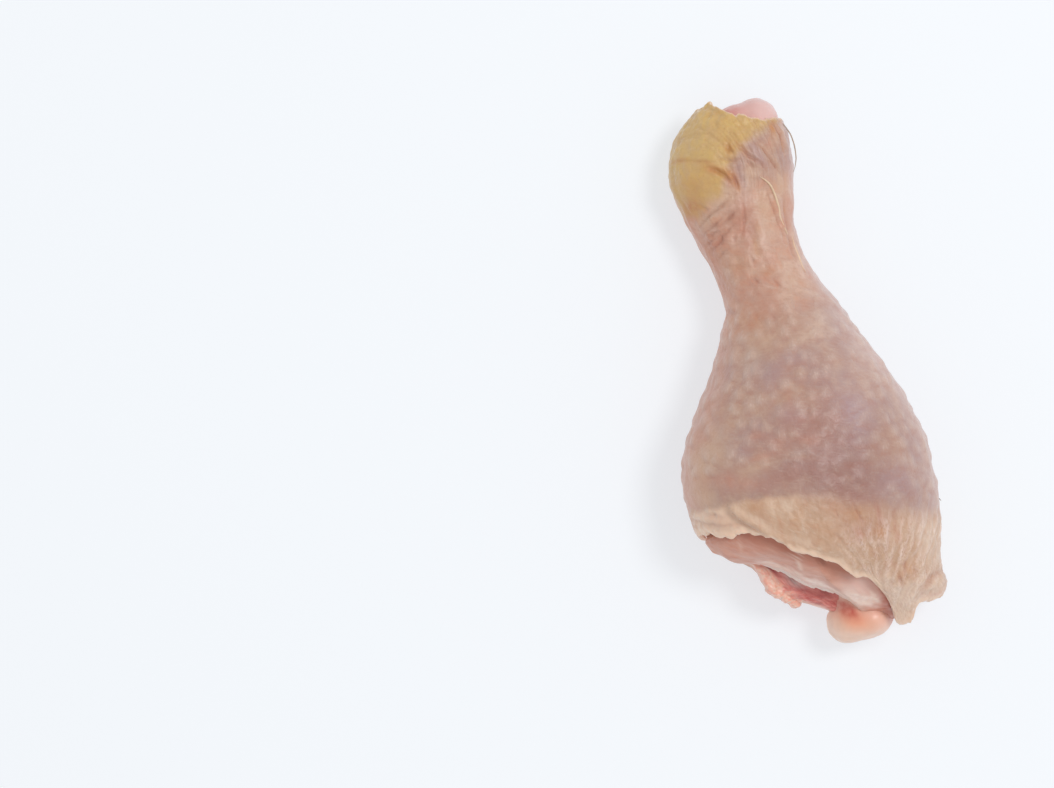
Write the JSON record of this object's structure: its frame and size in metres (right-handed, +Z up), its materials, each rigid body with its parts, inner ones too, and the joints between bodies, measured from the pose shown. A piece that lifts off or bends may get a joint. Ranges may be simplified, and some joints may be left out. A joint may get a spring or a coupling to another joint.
{
  "type": "raw chicken drumstick",
  "caption": "Raw chicken drumstick lying on its side, skin on, with the cut knee end showing muscle, fat and bone and the cartilage showing at the ankle.",
  "frame": {"origin": "on the floor under the middle of the whole drumstick, as it lies", "axes": "+Y along the leg to the ankle end, +X to the right seen from above with the ankle ahead, +Z up"},
  "size_m": [0.0624, 0.1398, 0.0464],
  "materials": {
    "skin": "moist cream-pink raw skin, yellow at the ankle",
    "pale_muscle": "moist pale pink raw meat",
    "fat": "moist whitish raw fat",
    "red_muscle": "wet red-brown raw meat",
    "cartilage": "smooth wet pinkish cartilage"
  },
  "bodies": {
    "root": {"skin": "skin", "pale_muscle": "pale_muscle", "fat_sheet": "fat", "red_muscle": "red_muscle", "shin_bone": "cartilage"}
  },
  "joints": []
}
